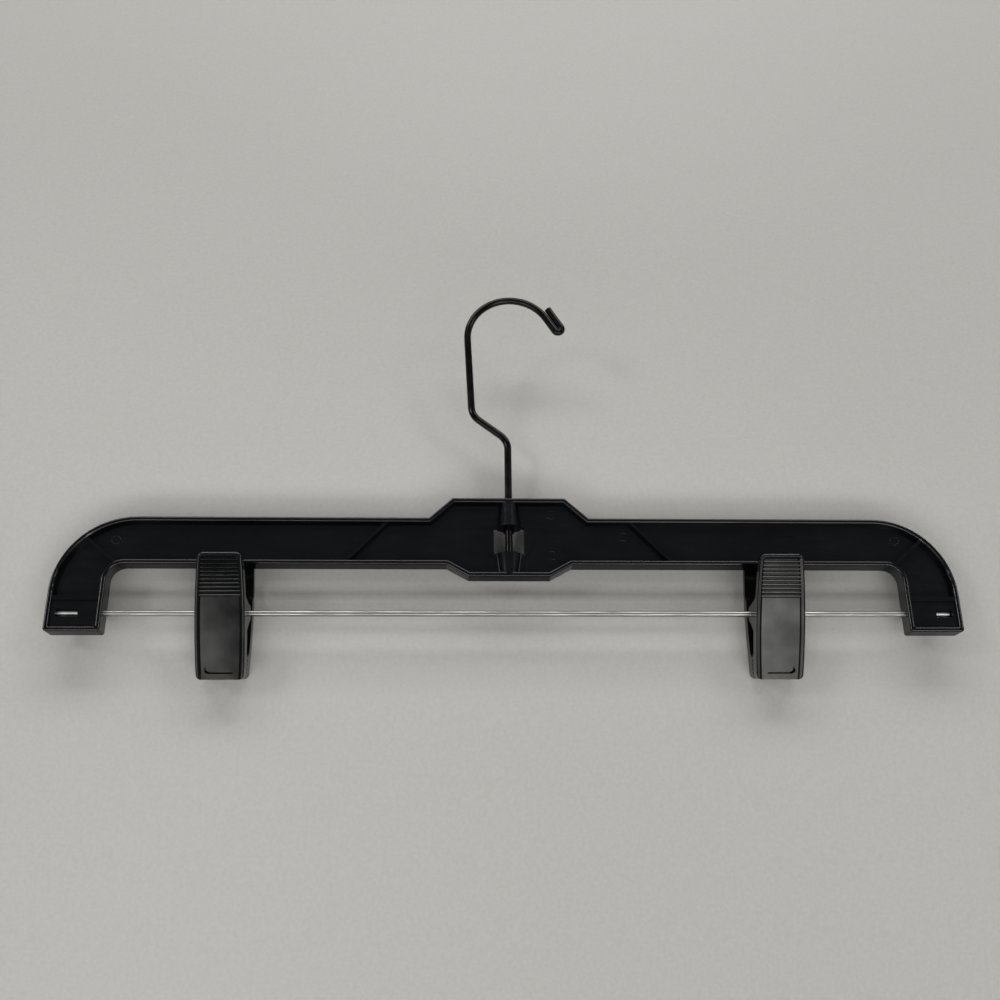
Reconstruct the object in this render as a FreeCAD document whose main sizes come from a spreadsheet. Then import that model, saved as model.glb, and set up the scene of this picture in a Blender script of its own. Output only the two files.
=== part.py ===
import FreeCAD, Part
import math
import os
import re

import Sketcher
from FreeCAD import Vector

# A skirt hanger, in millimetres, hanging from a rail.
# X runs along the bar, +Y points to the back and +Z points up.
# The origin lies on the swivel axis, where the hook's crown rests on the rail.
doc = FreeCAD.newDocument("skirt_hanger")

SIZES = (
    # The moulded bar. Heights without another base are measured from the rod's axis.
    ("frame_width", 355.6, "overall width over the two feet"),
    ("frame_depth", 7.6, "thickness of the moulding, front to back"),
    ("beam_height", 19.6, "height of the bar"),
    ("rod_drop", 19.0, "bar's lower face above the rod's axis"),
    ("hump_rise", 8.5, "hump's top above the bar's top"),
    ("hump_top_half", 22.6, "half width of the hump's flat top"),
    ("hump_top_foot", 32.0, "half width where the hump's slopes meet the bar's top"),
    ("hump_drop", 4.85, "hump's lower face below the bar's lower face"),
    ("hump_low_half", 16.1, "half width of the hump's flat lower face"),
    ("hump_low_foot", 24.8, "half width where the lower slopes meet the bar"),
    ("foot_width", 21.4, "width of a leg and its foot"),
    ("foot_below_rod", 7.9, "foot's lower face below the rod's axis"),
    ("elbow_radius", 31.0, "outer radius of the elbow"),
    ("crotch_radius", 6.0, "inner radius of the elbow"),
    ("toe_radius", 1.4, "radius of the foot's outer corner"),
    ("heel_radius", 1.0, "radius of the foot's inner corner"),
    ("least_radius", 0.4, "smallest corner radius of the mould"),
    ("rim_wall", 1.9, "width of the rim round the moulding"),
    ("rim_round", 0.7, "rounding of the rim's edges"),
    ("web_thickness", 2.0, "thickness of the web inside the rim"),
    ("rib_width", 1.4, "width of the ribs on the web"),
    ("rib_set_back", 0.5, "ribs below the rim's face"),
    ("elbow_rib_low", 66.0, "lower end of the elbow's rib, round the inner corner, degrees"),
    ("elbow_rib_top", 49.0, "upper end of the elbow's rib, round the outer corner, degrees"),
    ("rib_low_at", 65.0, "lower end of the slanted rib, from the middle"),
    ("rib_top_at", 48.0, "upper end of the slanted rib, from the middle"),
    ("foot_rib_level", 5.3, "middle of the foot's cross rib above the rod"),
    ("foot_rib_height", 1.7, "height of the foot's cross rib"),
    ("foot_panel_recess", 1.1, "foot's panel below the rim's face"),
    ("left_slot_from_end", 8.0, "middle of the left foot's slot from the bar's end"),
    ("left_slot_length", 8.4, "length of the slot that shows the rod's left end"),
    ("right_slot_from_end", 6.6, "middle of the right foot's slot from the bar's end"),
    ("right_slot_length", 6.4, "length of the slot that shows the rod's right end"),
    ("slot_height", 2.8, "height of the slots"),
    ("slot_drop", 0.5, "middle of the slots below the rod's axis"),
    ("window_rise", 10.6, "middle of the hub's window above the bar's lower face"),
    ("window_width", 12.1, "width of the window"),
    ("window_height", 11.2, "height of the window"),
    ("hub_radius", 9.4, "radius of the raised disc round the window"),
    ("hub_proud", 0.5, "disc above the web"),
    ("sleeve_wide", 5.2, "radius of the hook's sleeves at the window"),
    ("sleeve_narrow", 3.8, "radius of the sleeves at the rim"),
    ("socket_depth", 6.0, "depth of the blind bore under the window"),
    # The wire hook.
    ("hook_reach", 92.1, "rail contact above the hump's top"),
    ("wire_diameter", 3.0, "hook wire"),
    ("swivel_clearance", 0.06, "radial play of the hook in its bore"),
    ("stem_end_gap", 0.4, "stem's end above the bottom of the bore"),
    ("crown_radius", 18.4, "crown, to the middle of the wire"),
    ("crown_offset", 1.6, "crown's middle to the right of the swivel axis"),
    ("crown_past_top", 58.0, "crown's arc past its top, degrees"),
    ("shank_lean", 3.0, "lean of the upper shank, degrees"),
    ("jog_angle", 52.5, "slant of the jog, degrees"),
    ("jog_rise", 22.9, "start of the jog above the hump's top"),
    ("jog_radius", 8.0, "bends of the jog, to the middle of the wire"),
    ("tail_length", 7.0, "straight tail after the crown"),
    ("hairpin_gap", 0.2, "gap between the folded legs at the tip"),
    ("return_length", 10.4, "folded-back length at the tip"),
    ("ear_span", 4.4, "width over the two swaged ears"),
    ("ear_height", 2.0, "height of the ears"),
    ("ear_thickness", 1.2, "thickness of the ears"),
    ("ear_gap", 0.15, "ears below the upper sleeve"),
    # The rod.
    ("rod_diameter", 2.3, "rod"),
    ("rod_end_inset", 3.5, "rod's end from the bar's end"),
    ("rod_end_bevel", 0.3, "bevel of the rod's ends"),
    ("rod_clearance", 0.05, "radial play of the rod in its bores"),
    ("rod_end_gap", 0.3, "bore beyond the rod's end"),
    # The clips. A jaw's own heights are measured from the rod, along its outer face.
    ("left_clip_at", 110.3, "left clip, from the middle"),
    ("right_clip_at", 104.3, "right clip, from the middle"),
    ("clip_rock", 13.0, "forward tip of both clips, degrees"),
    ("jaw_stand", 9.7, "jaw's outer face from the rod's axis"),
    ("jaw_angle", 9.8, "slant of each jaw when the clip is shut, degrees"),
    ("handle_length", 24.6, "handle's top above the rod"),
    ("jaw_length", 24.1, "jaw's tip below the rod"),
    ("jaw_half_width", 9.55, "half width where a jaw is widest"),
    ("jaw_widest_at", 4.3, "widest place below the rod"),
    ("jaw_side_radius", 374.0, "radius of the long bulged edges"),
    ("handle_corner", 2.6, "radius of the handle's corners"),
    ("tip_corner", 2.0, "radius of the tip's corners"),
    ("jaw_round", 0.9, "rounding of the outer face's edges"),
    ("jaw_gap", 0.3, "gap between the shut jaws"),
    ("handle_depth", 3.0, "depth of the handle's side walls"),
    ("flank_depth", 4.6, "depth of the jaw's side walls"),
    ("tip_height", 7.5, "height of the solid tip"),
    ("jaw_wall", 1.6, "side walls and panel of a jaw"),
    ("panel_recess", 1.0, "panel below the jaw's rim"),
    ("panel_bevel", 0.6, "run of the bevel inside the rim"),
    ("panel_slope", 0.5, "run of the sloping walls round the panel"),
    ("panel_rim", 1.6, "width of the jaw's rim"),
    ("grip_start", 2.9, "first grip rib below the handle's top"),
    ("grip_pitch", 1.5, "distance between the grip ribs"),
    ("grip_count", 10, "number of grip ribs"),
    ("grip_height", 0.55, "height of a grip rib above the panel"),
    ("grip_gap", 0.12, "flat strip between two grip ribs"),
    ("keyhole_level", 2.7, "keyhole slot above the tip"),
    ("keyhole_half", 4.8, "half length of the keyhole slot"),
    ("keyhole_slot", 1.0, "height of the keyhole slot"),
    ("keyhole_radius", 1.3, "radius of the keyhole's round end"),
    ("keyhole_depth", 1.6, "depth of the keyhole below the panel"),
    ("tooth_pitch", 1.6, "distance between the teeth of the grip"),
    ("tooth_depth", 0.6, "depth of the grooves between the teeth"),
    ("tooth_count", 4, "number of grooves"),
    ("ear_outer_inset", 0.15, "front ears inside the jaw's widest edge"),
    ("ear_wall", 1.5, "thickness of the ears on the rod"),
    ("ear_play", 0.3, "gap between the nested ears"),
    ("ear_base", 6.3, "half height of an ear where it leaves the wall"),
    ("ear_radius", 3.4, "radius of an ear round the rod"),
    # The springs.
    ("spring_wire", 0.9, "spring wire"),
    ("spring_play", 0.3, "radial gap between the coil and the rod"),
    ("spring_turns", 3, "full turns of the coil"),
    ("spring_gap", 0.5, "gap between neighbouring turns"),
    ("spring_reach", 12.0, "end of a spring leg above the rod, along the handle"),
    ("spring_seat", 0.1, "gap between a leg's end and its handle"),
)

size = doc.addObject("Spreadsheet::Sheet", "Size")
for row, (name, number, meaning) in enumerate(SIZES, start=1):
    size.set(f"A{row}", meaning)
    size.set(f"B{row}", str(number))
    size.setAlias(f"B{row}", name)
doc.recompute()

ALIASES = re.compile(r"\b(" + "|".join(name for name, _, _ in SIZES) + r")\b")

# Levels and places that several pieces share.
BEAM_TOP = "(rod_drop + beam_height)"
HUMP_TOP = "(rod_drop + beam_height + hump_rise)"
HUMP_LOW = "(rod_drop - hump_drop)"
FOOT_OUT = "(frame_width / 2)"
LEG_IN = "(frame_width / 2 - foot_width)"
ELBOW_X = "(frame_width / 2 - elbow_radius)"
ELBOW_Z = "(rod_drop + beam_height - elbow_radius)"
WINDOW_MID = "(rod_drop + window_rise)"
WINDOW_LOW = "(rod_drop + window_rise - window_height / 2)"
WINDOW_TOP = "(rod_drop + window_rise + window_height / 2)"
ROD_LENGTH = "(frame_width - 2 * rod_end_inset)"
ROD_LEVEL = "(-hook_reach - hump_rise - beam_height - rod_drop)"
HAIRPIN = "((wire_diameter + hairpin_gap) / 2)"
CROWN_Z = "(-sqrt((crown_radius - wire_diameter / 2)^2 - crown_offset^2))"
JAW_CENTRE = "(jaw_half_width - jaw_side_radius)"


def full(text):
    """Write the sheet's name before every size in an expression."""
    return ALIASES.sub(r"Size.\1", text)


def value(text):
    """Work out an expression from the sheet."""
    number = size.evalExpression(full(text))
    return float(getattr(number, "Value", number))


def place_at(piece, x, z, angle):
    """Put a piece at a place of the middle plane, turned about an axis along the bar."""
    spot = f"create(<<vector>>; {full(x)}; 0; {full(z)})"
    turn = f"create(<<rotation>>; create(<<vector>>; 1; 0; 0); ({full(angle)}) * 1 deg)"
    piece.setExpression("Placement", f"create(<<placement>>; {spot}; {turn})")


def new_body(label):
    body = doc.addObject("PartDesign::Body", label)
    body.Label = label
    return body


def sketch_on(body, name, plane, offset=None):
    """Open a sketch on one of the body's own origin planes, moved along the plane's normal."""
    sketch = body.newObject("Sketcher::SketchObject", name)
    sketch.AttachmentSupport = (next(f for f in body.Origin.OriginFeatures if f.Role == plane), "")
    sketch.MapMode = "FlatFace"
    if offset:
        sketch.setExpression("AttachmentOffset.Base.z", full(offset))
    sketch.Visibility = False
    return sketch


def constrain(sketch, rules):
    """Add constraints, each with the expression that drives it or with None."""
    made = sketch.addConstraint([rule for rule, _ in rules])
    for index, (_, text) in zip(made, rules):
        if text:
            sketch.setExpression(f"Constraints[{index}]", full(text))


def hold(edge, end, x, y):
    """Keep one end of an edge at a place in the sketch."""
    return [(Sketcher.Constraint("DistanceX", -1, 1, edge, end, value(x)), x),
            (Sketcher.Constraint("DistanceY", -1, 1, edge, end, value(y)), y)]


def arc_between(start, end, radius, turn):
    """A minor arc that turns left (1) or right (-1), and its first and last end."""
    half = (end - start) * 0.5
    rise = math.sqrt(max(radius ** 2 - half.Length ** 2, 0.0))
    side = Vector(-half.y, half.x, 0) * (turn / half.Length)
    centre = start + half + side * rise
    first, last = (start, end) if turn > 0 else (end, start)
    angles = [math.atan2(p.y - centre.y, p.x - centre.x) for p in (first, last)]
    shape = Part.ArcOfCircle(Part.Circle(centre, Vector(0, 0, 1), radius), *angles)
    return shape, ((1, 2) if turn > 0 else (2, 1))


def draw(sketch, *loops):
    """Draw closed outlines. A corner (x, y) starts a line, (x, y, radius, turn) starts an arc."""
    rules = []
    for corners in loops:
        spots = [Vector(value(corner[0]), value(corner[1]), 0) for corner in corners]
        edges = []
        for i, corner in enumerate(corners):
            start, end = spots[i], spots[(i + 1) % len(spots)]
            if len(corner) == 2:
                shape, ends = Part.LineSegment(start, end), (1, 2)
            else:
                shape, ends = arc_between(start, end, value(corner[2]), corner[3])
            edge = sketch.addGeometry(shape, False)
            edges.append((edge, ends))
            rules += hold(edge, ends[0], corner[0], corner[1])
            if len(corner) > 2:
                rules.append((Sketcher.Constraint("Radius", edge, value(corner[2])), corner[2]))
        for (edge, ends), (after, after_ends) in zip(edges, edges[1:] + edges[:1]):
            rules.append((Sketcher.Constraint("Coincident", edge, ends[1], after, after_ends[0]), None))
    constrain(sketch, rules)


def rectangle(x0, y0, x1, y1):
    return [(x0, y0), (x1, y0), (x1, y1), (x0, y1)]


def circle(sketch, x, y, radius):
    spot = Vector(value(x), value(y), 0)
    edge = sketch.addGeometry(Part.Circle(spot, Vector(0, 0, 1), value(radius)), False)
    constrain(sketch, hold(edge, 3, x, y) + [(Sketcher.Constraint("Radius", edge, value(radius)), radius)])


def mirrored(half):
    """Complete an outline whose right half runs clockwise from its top."""
    other = []
    for i in range(len(half) - 1, -1, -1):
        arc = tuple(half[i - 1][2:]) if i else ()
        other.append((f"-({half[i][0]})", half[i][1]) + arc)
    return half + other


def pad(body, name, sketch, length, both=True, flip=False):
    feature = body.newObject("PartDesign::Pad", name)
    feature.Profile = sketch
    feature.SideType = "Symmetric" if both else "One side"
    feature.Reversed = flip
    feature.setExpression("Length", full(length))
    doc.recompute()
    return feature


def cut(body, kind, name, sketch, length=None, both=False, flip=False):
    """Take material away, and make sure that some was there."""
    before = body.Shape.Volume
    feature = body.newObject(kind, name)
    feature.Profile = sketch
    if kind == "PartDesign::Groove":
        feature.ReferenceAxis = (sketch, ["V_Axis"])
        feature.Angle = 360
    else:
        feature.SideType = "Symmetric" if both else "One side"
        feature.Reversed = flip
        if length:
            feature.setExpression("Length", full(length))
        else:
            feature.Type = "ThroughAll"
    doc.recompute()
    if body.Shape.Volume > before - 0.01:
        raise ValueError(f"{name} takes nothing away")
    return feature


def pocket(body, name, sketch, length=None, both=False, flip=False):
    return cut(body, "PartDesign::Pocket", name, sketch, length, both, flip)


def outermost(shape, side):
    """Number of the outermost flat face that looks to the front (-1) or to the back (1)."""
    flat = []
    for number, face in enumerate(shape.Faces, start=1):
        if face.Surface.TypeId == "Part::GeomPlane" and face.normalAt(0, 0).y * side > 0.99:
            flat.append((face.CenterOfMass.y * side, number))
    return max(flat)[1]


def soften(body, name, base, radius, sides):
    """Round the edges of a feature's outermost flat face to the front (-1), to the back (1) or both."""
    soft = body.newObject("PartDesign::Fillet", name)
    soft.Base = (base, [f"Face{outermost(base.Shape, side)}" for side in sides])
    soft.setExpression("Radius", full(radius))
    doc.recompute()


def frame_outline(inset):
    """The moulding's outline, moved inward by a wall."""
    top_run = "(hump_top_foot - hump_top_half)"
    low_run = "(hump_low_foot - hump_low_half)"
    top_shift = f"{inset} * (hypot(hump_rise; {top_run}) - {top_run}) / hump_rise"
    low_shift = f"{inset} * (hypot(hump_drop; {low_run}) - {low_run}) / hump_drop"
    toe = f"max(toe_radius - {inset}; least_radius)"
    heel = f"max(heel_radius - {inset}; least_radius)"
    floor = f"{inset} - foot_below_rod"
    return mirrored([
        (f"hump_top_half - {top_shift}", f"{HUMP_TOP} - {inset}"),
        (f"hump_top_foot - {top_shift}", f"{BEAM_TOP} - {inset}"),
        (ELBOW_X, f"{BEAM_TOP} - {inset}", f"elbow_radius - {inset}", -1),
        (f"{FOOT_OUT} - {inset}", ELBOW_Z),
        (f"{FOOT_OUT} - {inset}", f"{floor} + {toe}", toe, -1),
        (f"{FOOT_OUT} - {inset} - {toe}", floor),
        (f"{LEG_IN} + {inset} + {heel}", floor, heel, -1),
        (f"{LEG_IN} + {inset}", f"{floor} + {heel}"),
        (f"{LEG_IN} + {inset}", "rod_drop - crotch_radius", f"crotch_radius + {inset}", 1),
        (f"{LEG_IN} - crotch_radius", f"rod_drop + {inset}"),
        (f"hump_low_foot - {low_shift}", f"rod_drop + {inset}"),
        (f"hump_low_half - {low_shift}", f"{HUMP_LOW} + {inset}"),
    ])


def both_sides(loop):
    """An outline and its mirror image across the swivel axis."""
    return loop, [(f"-({x})", y) for x, y in reversed(loop)]


def make_hanger_body():
    body = new_body("hanger_body")
    place_at(body, "0", ROD_LEVEL, "0")

    # The rim runs round the whole outline, with soft edges on both faces.
    sketch = sketch_on(body, "rim_outline", "XZ_Plane")
    draw(sketch, frame_outline("0"), frame_outline("rim_wall"))
    rim = pad(body, "rim", sketch, "frame_depth")
    soften(body, "rim_edges", rim, "min(rim_round; 0.45 * rim_wall)", (-1, 1))

    # A thin web fills the rim.
    sketch = sketch_on(body, "web_outline", "XZ_Plane")
    draw(sketch, frame_outline("0.5 * rim_wall"))
    pad(body, "web", sketch, "web_thickness")

    # One rib crosses each elbow and one slants across each half of the bar.
    sketch = sketch_on(body, "rib_outlines", "XZ_Plane")
    aside = "0.5 * rib_width * sqrt(0.5)"
    near, far = "(crotch_radius + rim_wall / 2)", "(elbow_radius - rim_wall / 2)"
    near_x = f"{LEG_IN} - crotch_radius + {near} * cos(elbow_rib_low * 1 deg)"
    near_z = f"rod_drop - crotch_radius + {near} * sin(elbow_rib_low * 1 deg)"
    far_x = f"{ELBOW_X} + {far} * cos(elbow_rib_top * 1 deg)"
    far_z = f"{ELBOW_Z} + {far} * sin(elbow_rib_top * 1 deg)"
    elbow_rib = [
        (f"{near_x} + {aside}", f"{near_z} - {aside}"),
        (f"{far_x} + {aside}", f"{far_z} - {aside}"),
        (f"{far_x} - {aside}", f"{far_z} + {aside}"),
        (f"{near_x} - {aside}", f"{near_z} + {aside}"),
    ]
    low_z, top_z = "rod_drop + rim_wall / 2", f"{BEAM_TOP} - rim_wall / 2"
    bar_rib = [("rib_low_at - 0.6 * rib_width", low_z), ("rib_low_at + 0.6 * rib_width", low_z),
               ("rib_top_at + 0.6 * rib_width", top_z), ("rib_top_at - 0.6 * rib_width", top_z)]
    draw(sketch, *both_sides(elbow_rib), *both_sides(bar_rib))
    pad(body, "ribs", sketch, "frame_depth - 2 * rib_set_back")

    # The feet are solid below a cross rib, to hold the rod.
    inner, outer = f"{LEG_IN} + rim_wall / 2", f"{FOOT_OUT} - rim_wall / 2"
    sketch = sketch_on(body, "foot_block_outline", "XZ_Plane")
    draw(sketch, *both_sides(rectangle(inner, "rim_wall / 2 - foot_below_rod", outer, "foot_rib_level")))
    pad(body, "foot_blocks", sketch, "frame_depth - 2 * foot_panel_recess")
    sketch = sketch_on(body, "foot_rib_outline", "XZ_Plane")
    draw(sketch, *both_sides(rectangle(inner, "foot_rib_level - foot_rib_height / 2",
                                       outer, "foot_rib_level + foot_rib_height / 2")))
    pad(body, "foot_ribs", sketch, "frame_depth - rib_set_back")

    # The hub: a low disc and two tapered sleeves for the hook, with a window between them.
    sketch = sketch_on(body, "disc_outline", "XZ_Plane")
    circle(sketch, "0", WINDOW_MID, "hub_radius")
    pad(body, "hub_disc", sketch, "web_thickness + 2 * hub_proud")
    sketch = sketch_on(body, "sleeve_outline", "XZ_Plane")
    draw(sketch, [("0", f"{HUMP_LOW} + rim_wall / 2"), ("sleeve_narrow", f"{HUMP_LOW} + rim_wall / 2"),
                  ("sleeve_wide", WINDOW_LOW), ("sleeve_wide", WINDOW_TOP),
                  ("sleeve_narrow", f"{HUMP_TOP} - rim_wall / 2"), ("0", f"{HUMP_TOP} - rim_wall / 2")])
    sleeves = body.newObject("PartDesign::Revolution", "sleeves")
    sleeves.Profile = sketch
    sleeves.ReferenceAxis = (sketch, ["V_Axis"])
    sleeves.Angle = 360
    doc.recompute()
    sketch = sketch_on(body, "window_outline", "XZ_Plane")
    draw(sketch, rectangle("-window_width / 2", WINDOW_LOW, "window_width / 2", WINDOW_TOP))
    pocket(body, "window", sketch, "4 * frame_depth", both=True)

    # Bores: the hook's, blind under the window, and the rod's, through both legs into the feet.
    sketch = sketch_on(body, "swivel_bore_outline", "XZ_Plane")
    draw(sketch, rectangle("0", f"{WINDOW_LOW} - socket_depth",
                           "wire_diameter / 2 + swivel_clearance", f"{HUMP_TOP} + rim_wall"))
    cut(body, "PartDesign::Groove", "swivel_bore", sketch)
    sketch = sketch_on(body, "slot_outline", "XZ_Plane")
    slots = []
    for side, sign in (("left", -1), ("right", 1)):
        inner = f"{sign} * ({FOOT_OUT} - {side}_slot_from_end - {side}_slot_length / 2)"
        outer = f"{sign} * ({FOOT_OUT} - {side}_slot_from_end + {side}_slot_length / 2)"
        slots.append(rectangle(inner, "-slot_drop - slot_height / 2", outer, "slot_height / 2 - slot_drop"))
    draw(sketch, *slots)
    pocket(body, "slots", sketch, "4 * frame_depth", both=True)
    sketch = sketch_on(body, "rod_bore_outline", "YZ_Plane")
    circle(sketch, "0", "0", "rod_diameter / 2 + rod_clearance")
    pocket(body, "rod_bore", sketch, f"{ROD_LENGTH} + 2 * rod_end_gap", both=True)
    return body


def hook_path(sketch):
    """The wire's middle line, from the stem's lower end to the cut end of the folded tip."""
    crown, bend, fold = value("crown_radius"), value("jog_radius"), value(HAIRPIN)
    lean, jog, past = (math.radians(value(n)) for n in ("shank_lean", "jog_angle", "crown_past_top"))
    middle = Vector(value("crown_offset"), value(CROWN_Z), 0)
    foot = f"{ROD_LEVEL} + {WINDOW_LOW} - socket_depth + stem_end_gap"
    jog_start = Vector(0, value("jog_rise - hook_reach"), 0)

    across = Vector(math.cos(lean), math.sin(lean), 0)
    slant_across = Vector(math.cos(jog), math.sin(jog), 0)
    slant = Vector(-math.sin(jog), math.cos(jog), 0)
    onward = Vector(math.cos(past), -math.sin(past), 0)
    outward = Vector(math.sin(past), math.cos(past), 0)

    crown_start = middle - across * crown
    turned = jog_start + Vector(-bend, 0, 0) + slant_across * bend
    rest = (crown_start + across * bend).dot(across) - (turned + slant_across * bend).dot(across)
    slant_end = turned + slant * (rest / slant.dot(across))
    shank_start = slant_end + slant_across * bend - across * bend
    crown_end = middle + outward * crown
    tail_end = crown_end + onward * value("tail_length")
    return_start = tail_end + outward * (2 * fold)
    tip = return_start - onward * value("return_length")

    def arc(centre, start, end, turn):
        first, last = (start, end) if turn > 0 else (end, start)
        low, high = (math.atan2(p.y - centre.y, p.x - centre.x) for p in (first, last))
        radius = (start - centre).Length
        return Part.ArcOfCircle(Part.Circle(centre, Vector(0, 0, 1), radius), low, high)

    stem = sketch.addGeometry(Part.LineSegment(Vector(0, value(foot), 0), jog_start), False)
    bend_left = sketch.addGeometry(arc(jog_start + Vector(-bend, 0, 0), jog_start, turned, 1), False)
    jog_line = sketch.addGeometry(Part.LineSegment(turned, slant_end), False)
    bend_back = sketch.addGeometry(arc(slant_end + slant_across * bend, slant_end, shank_start, -1), False)
    shank = sketch.addGeometry(Part.LineSegment(shank_start, crown_start), False)
    over = sketch.addGeometry(arc(middle, crown_start, crown_end, -1), False)
    tail = sketch.addGeometry(Part.LineSegment(crown_end, tail_end), False)
    hairpin = sketch.addGeometry(arc(tail_end + outward * fold, tail_end, return_start, 1), False)
    back = sketch.addGeometry(Part.LineSegment(return_start, tip), False)

    # Each edge with its first and last end; the arcs that turn right run backwards.
    chain = [(stem, 1, 2), (bend_left, 1, 2), (jog_line, 1, 2), (bend_back, 2, 1), (shank, 1, 2),
             (over, 2, 1), (tail, 1, 2), (hairpin, 1, 2), (back, 1, 2)]
    rules = [(Sketcher.Constraint("Tangent", a, a_end, b, b_start), None)
             for (a, _, a_end), (b, b_start, _) in zip(chain, chain[1:])]
    rules += hold(stem, 1, "0", foot)
    rules.append((Sketcher.Constraint("Vertical", stem), None))
    rules.append((Sketcher.Constraint("DistanceY", -1, 1, stem, 2, jog_start.y), "jog_rise - hook_reach"))
    rules += hold(over, 3, "crown_offset", CROWN_Z)
    for edge, text in ((bend_left, "jog_radius"), (bend_back, "jog_radius"),
                       (over, "crown_radius"), (hairpin, HAIRPIN)):
        rules.append((Sketcher.Constraint("Radius", edge, value(text)), text))
    for edge, text in ((jog_line, "90 + jog_angle"), (shank, "90 + shank_lean"), (tail, "-crown_past_top")):
        angle = Sketcher.Constraint("Angle", edge, math.radians(value(text)))
        rules.append((angle, f"({text}) * 1 deg"))
    for edge, text in ((tail, "tail_length"), (back, "return_length")):
        rules.append((Sketcher.Constraint("Distance", edge, value(text)), text))
    rules.append((Sketcher.Constraint("Parallel", tail, back), None))
    constrain(sketch, rules)
    return foot


def make_hook():
    body = new_body("hook")
    path = sketch_on(body, "wire_path", "XZ_Plane")
    foot = hook_path(path)
    section = sketch_on(body, "wire_section", "XY_Plane", foot)
    circle(section, "0", "0", "wire_diameter / 2")
    doc.recompute()
    wire = body.newObject("PartDesign::AdditivePipe", "wire")
    wire.Profile = section
    wire.Spine = (path, [f"Edge{i}" for i in range(1, len(path.Shape.Edges) + 1)])
    doc.recompute()

    # Two swaged ears under the upper sleeve carry the hanger.
    sketch = sketch_on(body, "swaged_outline", "XZ_Plane")
    top = f"{ROD_LEVEL} + {WINDOW_TOP} - ear_gap"
    draw(sketch, rectangle("-ear_span / 2", f"{top} - ear_height", "ear_span / 2", top))
    pad(body, "swaged_ears", sketch, "ear_thickness")
    return body


def make_rod():
    body = new_body("rod")
    place_at(body, "0", ROD_LEVEL, "0")
    sketch = sketch_on(body, "rod_section", "YZ_Plane")
    circle(sketch, "0", "0", "rod_diameter / 2")
    bar = pad(body, "bar", sketch, ROD_LENGTH)
    ends = body.newObject("PartDesign::Chamfer", "rod_ends")
    ends.Base = (bar, [f"Edge{i}" for i, edge in enumerate(bar.Shape.Edges, start=1)
                       if edge.Curve.TypeId == "Part::GeomCircle"])
    ends.setExpression("Size", full("min(rod_end_bevel; 0.4 * rod_diameter)"))
    doc.recompute()
    return body


def jaw_edges(inset, top="handle_length", tip="-jaw_length"):
    """A jaw seen from the front, moved inward: bulged long edges that run smoothly into round corners."""
    bulge = f"(jaw_side_radius - {inset})"

    def corner(radius, level, sign):
        """Where a corner's arc meets the top or the tip, and where it meets the long edge."""
        middle_z = f"({level} - {sign} * {radius})"
        middle_x = f"sqrt(({bulge} - {radius})^2 - ({middle_z} + jaw_widest_at)^2)"
        grown = f"{bulge} / ({bulge} - {radius})"
        side_x = f"{JAW_CENTRE} + {middle_x} * {grown}"
        side_z = f"({middle_z} + jaw_widest_at) * {grown} - jaw_widest_at"
        return f"{JAW_CENTRE} + {middle_x}", (side_x, side_z)

    round_top = f"max(handle_corner - {inset}; least_radius)"
    round_tip = f"max(tip_corner - {inset}; least_radius)"
    top_x, top_side = corner(round_top, f"({top} - {inset})", 1)
    tip_x, tip_side = corner(round_tip, f"({tip} + {inset})", -1)
    return mirrored([
        (top_x, f"{top} - {inset}", round_top, -1),
        (*top_side, bulge, -1),
        (*tip_side, round_tip, -1),
        (tip_x, f"{tip} + {inset}"),
    ])


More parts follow.
